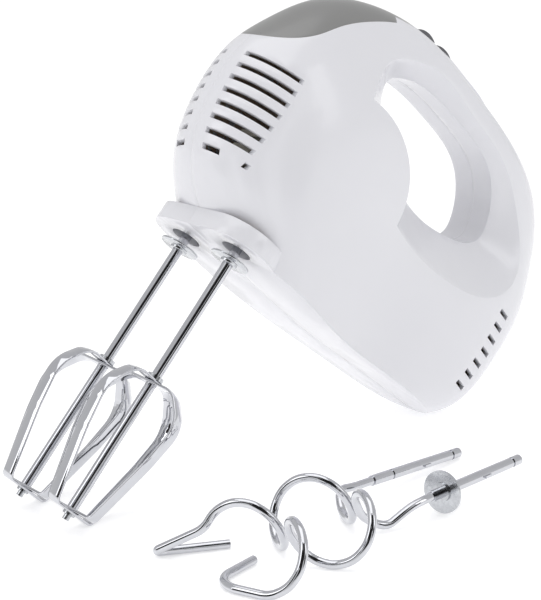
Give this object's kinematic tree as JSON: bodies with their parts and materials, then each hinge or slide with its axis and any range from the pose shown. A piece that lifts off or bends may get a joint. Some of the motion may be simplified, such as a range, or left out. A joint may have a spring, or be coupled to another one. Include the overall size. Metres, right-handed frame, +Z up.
{
  "type": "hand mixer",
  "caption": "Handheld electric mixer with a loop handle, wire-cage beaters that pull out of their sockets, an eject button, a speed slider and spiral dough hooks lying beside it.",
  "frame": {"origin": "middle of the object's bounding box on the surface it rests on", "axes": "+X horizontal, from the heel towards the beaters; +Y to the mixer's left, the side the dough hooks lie on; +Z up. The mixer is at rest, leaning back on its heel and its beater tips"},
  "size_m": [0.3218, 0.187, 0.219],
  "materials": {
    "white_abs": "gloss moulded",
    "pale_abs": "gloss moulded",
    "grey_abs": "satin moulded",
    "dark_button": "gloss moulded",
    "chrome_wire": "polished plating",
    "zinc_plated": "zinc plated, spangled",
    "black_rubber": "matte",
    "steel": "turned",
    "laminations": "stacked, varnished",
    "copper": "enamelled wire",
    "bronze": "sintered",
    "carbon": "pressed",
    "board": "glass laminate",
    "nylon": "moulded"
  },
  "bodies": {
    "body": {"brush_holders": "bronze", "brush_springs": "steel", "carbon_brushes": "carbon", "circuit_board": "board", "cord_inlet": "black_rubber", "ejector_spring": "steel", "front_bearing": "steel", "gearbox_frame": "nylon", "gearbox_lid": "nylon", "gearbox_screws": "steel", "handle_cover": "pale_abs", "housing_screws": "steel", "left_housing": "white_abs", "lower_field_coil": "copper", "motor_bracket": "steel", "motor_screws": "steel", "motor_stator": "laminations", "rear_bearing": "steel", "right_housing": "white_abs", "spindle_bushes": "bronze", "suppressor_capacitor": "nylon", "switch_block": "nylon", "switch_contacts": "copper", "top_panel": "grey_abs", "upper_field_coil": "copper", "wire_clamp": "nylon"},
    "motor_rotor": {"motor_shaft": "steel", "worm": "steel", "armature_core": "laminations", "armature_winding": "copper", "commutator": "copper", "cooling_fan": "nylon"},
    "left_spindle_drive": {"left_spindle": "steel", "left_worm_wheel": "nylon"},
    "left_beater": {"left_beater_shaft": "chrome_wire", "left_beater_collar": "zinc_plated", "left_outer_loop": "chrome_wire", "left_inner_loop": "chrome_wire", "left_beater_ferrule": "zinc_plated", "left_beater_rivet": "zinc_plated"},
    "right_spindle_drive": {"right_spindle": "steel", "right_worm_wheel": "nylon"},
    "right_beater": {"right_beater_shaft": "chrome_wire", "right_beater_collar": "zinc_plated", "right_outer_loop": "chrome_wire", "right_inner_loop": "chrome_wire", "right_beater_ferrule": "zinc_plated", "right_beater_rivet": "zinc_plated"},
    "speed_control": {"speed_slider": "dark_button"},
    "ejector": {"eject_button": "dark_button", "ejector_yoke": "nylon"},
    "dough_hook_a": {"hook_a_sleeve": "chrome_wire", "hook_a_wire": "chrome_wire"},
    "dough_hook_b": {"hook_b_sleeve": "chrome_wire", "hook_b_wire": "chrome_wire", "hook_b_collar": "zinc_plated"}
  },
  "joints": [
    {"name": "motor_spin", "type": "hinge", "parent": "body", "child": "motor_rotor", "pos_m": [-0.00204, -0.04819, 0.09945], "axis": [0.7299, 0, 0.6835], "continuous": true},
    {"name": "left_spindle_spin", "type": "hinge", "parent": "body", "child": "left_spindle_drive", "pos_m": [0.03446, -0.02919, 0.13363], "axis": [-0.6835, 0, 0.7299], "continuous": true},
    {"name": "right_spindle_spin", "type": "hinge", "parent": "body", "child": "right_spindle_drive", "pos_m": [0.03446, -0.06719, 0.13363], "axis": [-0.6835, 0, 0.7299], "continuous": true},
    {"name": "left_beater_pull", "type": "slide", "parent": "left_spindle_drive", "child": "left_beater", "axis": [0.6835, 0, -0.7299], "range_m": [0, 0.045]},
    {"name": "right_beater_pull", "type": "slide", "parent": "right_spindle_drive", "child": "right_beater", "axis": [0.6835, 0, -0.7299], "range_m": [0, 0.045]},
    {"name": "speed_slide", "type": "slide", "parent": "body", "child": "speed_control", "axis": [-0.7299, 0, -0.6835], "range_m": [0, 0.02]},
    {"name": "eject_press", "type": "slide", "parent": "body", "child": "ejector", "axis": [0.6835, 0, -0.7299], "range_m": [0, 0.005], "stiffness_N_per_m": 900, "springref_m": -0.002},
    {"name": "hook_a_lift", "type": "slide", "parent": "body", "child": "dough_hook_a", "axis": [0, 0, 1], "range_m": [0, 0.1]},
    {"name": "hook_b_lift", "type": "slide", "parent": "body", "child": "dough_hook_b", "axis": [0, 0, 1], "range_m": [0, 0.1]}
  ],
  "couplings": [
    {"joint": "left_spindle_spin", "follows": "motor_spin", "ratio": 0.068966},
    {"joint": "right_spindle_spin", "follows": "motor_spin", "ratio": -0.068966}
  ]
}
